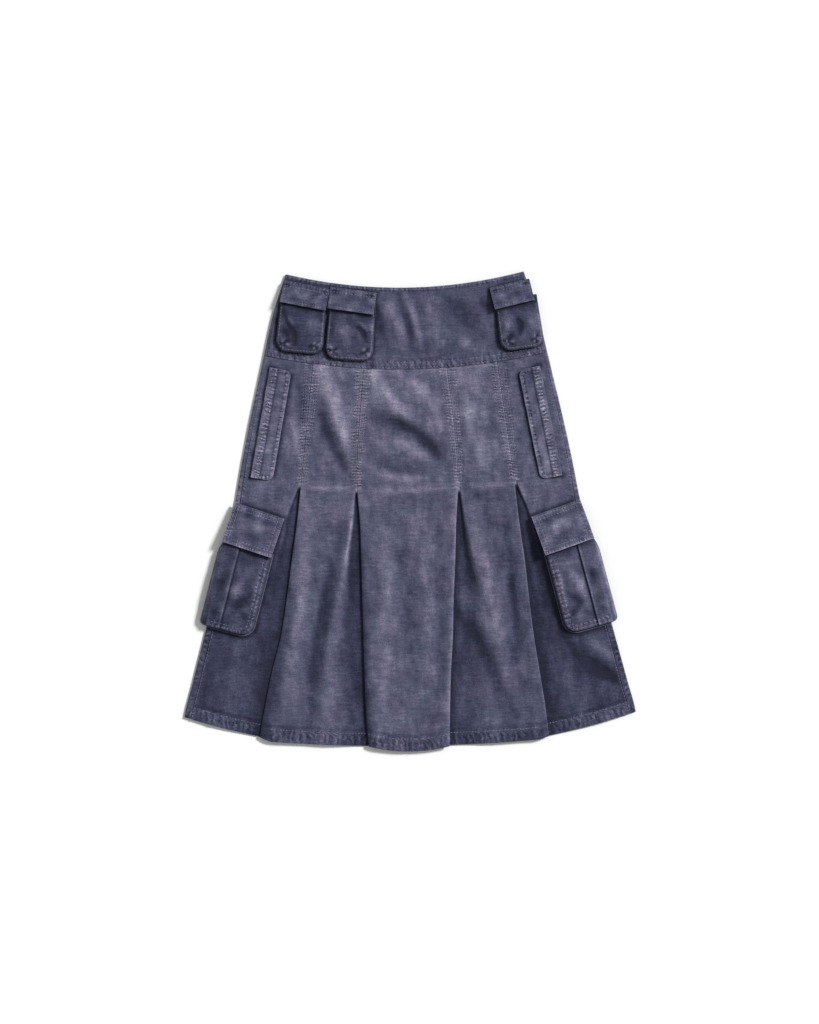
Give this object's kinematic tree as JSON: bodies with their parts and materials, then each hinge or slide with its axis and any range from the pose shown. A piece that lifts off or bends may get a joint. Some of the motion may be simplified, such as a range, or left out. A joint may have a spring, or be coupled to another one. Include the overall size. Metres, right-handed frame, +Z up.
{
  "type": "cargo utility skirt",
  "caption": "Knee-length twill skirt laid flat: fitted yoke, inverted pleats opening to a flared hem, small flap pockets at the waist, long side flaps and gusseted cargo pockets.",
  "frame": {"origin": "middle of the laid outline, on the surface that the skirt lies on", "axes": "+Z up off the surface, +Y to the waist, +X to the right of the laid skirt as it is looked down on"},
  "size_m": [0.6762, 0.7167, 0.0187],
  "materials": {
    "twill_yoke": "washed cotton twill, matt",
    "twill_panel": "washed cotton twill, matt",
    "twill_side": "washed cotton twill, matt",
    "twill_pocket": "washed cotton twill, matt",
    "twill_flap": "washed cotton twill, faded",
    "zip_tape": "woven zip tape, matt"
  },
  "bodies": {
    "root": {"front_yoke": "twill_yoke", "front_centre": "twill_panel", "back_yoke_left": "twill_yoke", "back_yoke_right": "twill_yoke", "front_middle_left": "twill_panel", "front_middle_right": "twill_panel", "front_side_left": "twill_side", "front_side_right": "twill_side", "back_left": "twill_side", "back_right": "twill_side", "back_zip": "zip_tape", "small_bag_left": "twill_pocket", "small_bag_middle": "twill_pocket", "small_bag_right": "twill_pocket", "small_flap_left": "twill_flap", "small_flap_middle": "twill_flap", "small_flap_right": "twill_flap", "side_flap_left": "twill_flap", "side_flap_right": "twill_flap", "cargo_gusset_left": "twill_pocket", "cargo_gusset_right": "twill_pocket", "cargo_bag_left": "twill_pocket", "cargo_bag_right": "twill_pocket", "cargo_flap_left": "twill_flap", "cargo_flap_right": "twill_flap"}
  },
  "joints": []
}
